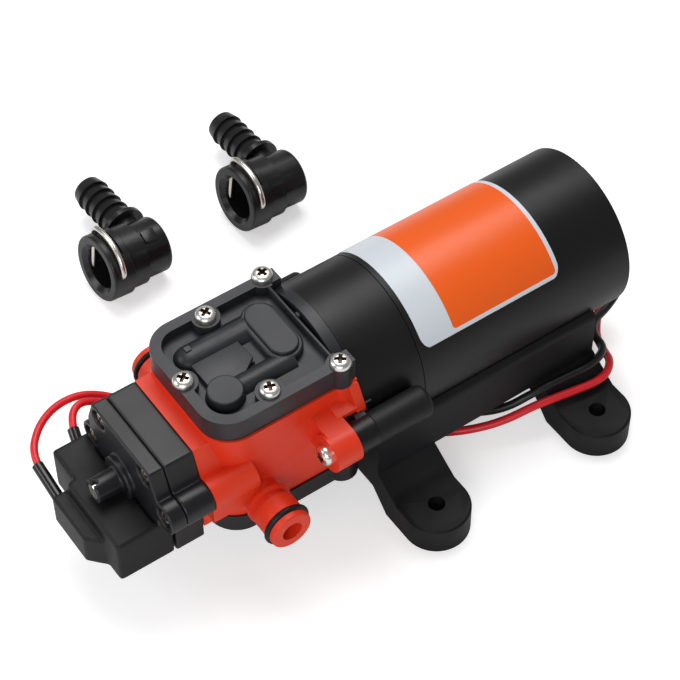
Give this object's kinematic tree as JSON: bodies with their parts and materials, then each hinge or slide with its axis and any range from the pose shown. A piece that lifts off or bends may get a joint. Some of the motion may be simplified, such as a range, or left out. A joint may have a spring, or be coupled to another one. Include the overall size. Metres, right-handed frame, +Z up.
{
  "type": "water pressure pump",
  "caption": "Small diaphragm water pump with a round motor on a footed saddle, an end pressure switch, quick-connect ports, and loose push-on hose elbows.",
  "frame": {"origin": "centre of the four foot holes, on the mounting plane under the feet", "axes": "+X along the motor axis towards the motor's rear end, +Z up from the mounting plane, +Y towards the loose elbows"},
  "size_m": [0.18, 0.1666, 0.063],
  "materials": {
    "red_moulding": "satin",
    "grey_moulding": "satin",
    "black_moulding": "satin",
    "sleeve_black": "satin",
    "base_black": "matte",
    "soft_black": "matte",
    "chrome_screw": "polished",
    "steel": "satin",
    "magnet": "matte",
    "copper": "polished",
    "carbon": "matte",
    "red_insulation": "satin",
    "black_insulation": "satin",
    "tinned": "satin",
    "label": "satin",
    "inner_moulding": "satin"
  },
  "bodies": {
    "pump": {"motor_sleeve": "sleeve_black", "motor_can": "steel", "front_motor_bearing": "steel", "field_magnets": "magnet", "motor_end_cap": "black_moulding", "rear_motor_bearing": "steel", "brush_holders": "copper", "carbon_brushes": "carbon", "brush_springs": "steel", "motor_flange": "black_moulding", "rating_label": "label", "base_saddle": "base_black", "pump_body": "red_moulding", "port_o_rings": "soft_black", "top_cover": "grey_moulding", "bottom_cover": "black_moulding", "top_cover_screws": "chrome_screw", "bottom_cover_screws": "chrome_screw", "upper_diaphragm": "soft_black", "lower_diaphragm": "soft_black", "upper_valve_plate": "inner_moulding", "lower_valve_plate": "inner_moulding", "inlet_valves": "soft_black", "outlet_valves": "soft_black", "lug_screws": "chrome_screw", "lug_nuts": "steel", "screw_caps": "soft_black", "switch_manifold": "black_moulding", "switch_diaphragm": "soft_black", "switch_housing": "black_moulding", "switch_screws": "chrome_screw", "pressure_spring": "steel", "microswitch_body": "black_moulding", "switch_cover": "soft_black", "terminal_sleeves": "black_insulation", "switch_wire_a": "red_insulation", "switch_wire_b": "red_insulation", "red_lead": "red_insulation", "black_lead": "black_insulation", "tinned_ends": "tinned"},
    "rotor": {"motor_shaft": "steel", "armature_core": "steel", "armature_windings": "copper", "commutator": "copper", "eccentric_hub": "steel", "counterweight": "steel", "hub_set_screw": "steel"},
    "yoke_set": {"drive_bearing": "steel", "yoke": "inner_moulding", "diaphragm_pistons": "inner_moulding", "piston_screws": "steel"},
    "spring_seat": {"spring_seat": "steel"},
    "adjuster": {"adjusting_screw": "chrome_screw"},
    "switch_piston": {"switch_piston": "inner_moulding"},
    "switch_button": {"microswitch_button": "red_insulation"},
    "elbow_a": {"elbow_a": "black_moulding"},
    "clip_a": {"clip_a": "steel"},
    "elbow_b": {"elbow_b": "black_moulding"},
    "clip_b": {"clip_b": "steel"}
  },
  "joints": [
    {"name": "motor_spin", "type": "hinge", "parent": "pump", "child": "rotor", "pos_m": [0, 0, 0.0385], "axis": [1, 0, 0], "continuous": true},
    {"name": "yoke_pivot", "type": "hinge", "parent": "rotor", "child": "yoke_set", "pos_m": [-0.0627, 0.0016, 0.0385], "axis": [1, 0, 0], "continuous": true, "deforming": ["upper_diaphragm", "lower_diaphragm"]},
    {"name": "seat_slide", "type": "slide", "parent": "pump", "child": "spring_seat", "axis": [1, 0, 0], "range_m": [-0.001, 0.001], "deforming": ["pressure_spring"]},
    {"name": "adjuster_turn", "type": "hinge", "parent": "spring_seat", "child": "adjuster", "pos_m": [-0.11, 0, 0.0366], "axis": [1, 0, 0], "range_deg": [-721, 721]},
    {"name": "switch_piston_slide", "type": "slide", "parent": "pump", "child": "switch_piston", "axis": [-1, 0, 0], "range_m": [0, 0.0008], "stiffness_N_per_m": 900, "springref_m": -0.0008, "deforming": ["pressure_spring", "switch_diaphragm"]},
    {"name": "switch_button_slide", "type": "slide", "parent": "pump", "child": "switch_button", "axis": [-1, 0, 0], "range_m": [0, 0.0008], "stiffness_N_per_m": 60, "springref_m": -0.0008},
    {"name": "elbow_a_lift", "type": "slide", "parent": "pump", "child": "elbow_a", "axis": [0, 0, 1], "range_m": [0, 0.04]},
    {"name": "clip_a_slide", "type": "slide", "parent": "elbow_a", "child": "clip_a", "axis": [0.1311, 0.0055, 0.9914], "range_m": [0, 0.005]},
    {"name": "elbow_b_lift", "type": "slide", "parent": "pump", "child": "elbow_b", "axis": [0, 0, 1], "range_m": [0, 0.04]},
    {"name": "clip_b_slide", "type": "slide", "parent": "elbow_b", "child": "clip_b", "axis": [0.1311, 0.0055, 0.9914], "range_m": [0, 0.005]}
  ],
  "couplings": [
    {"joint": "yoke_pivot", "follows": "motor_spin", "ratio": -1},
    {"joint": "adjuster_turn", "follows": "seat_slide", "rad_per_m": 12566},
    {"joint": "switch_button_slide", "follows": "switch_piston_slide", "ratio": 1}
  ]
}
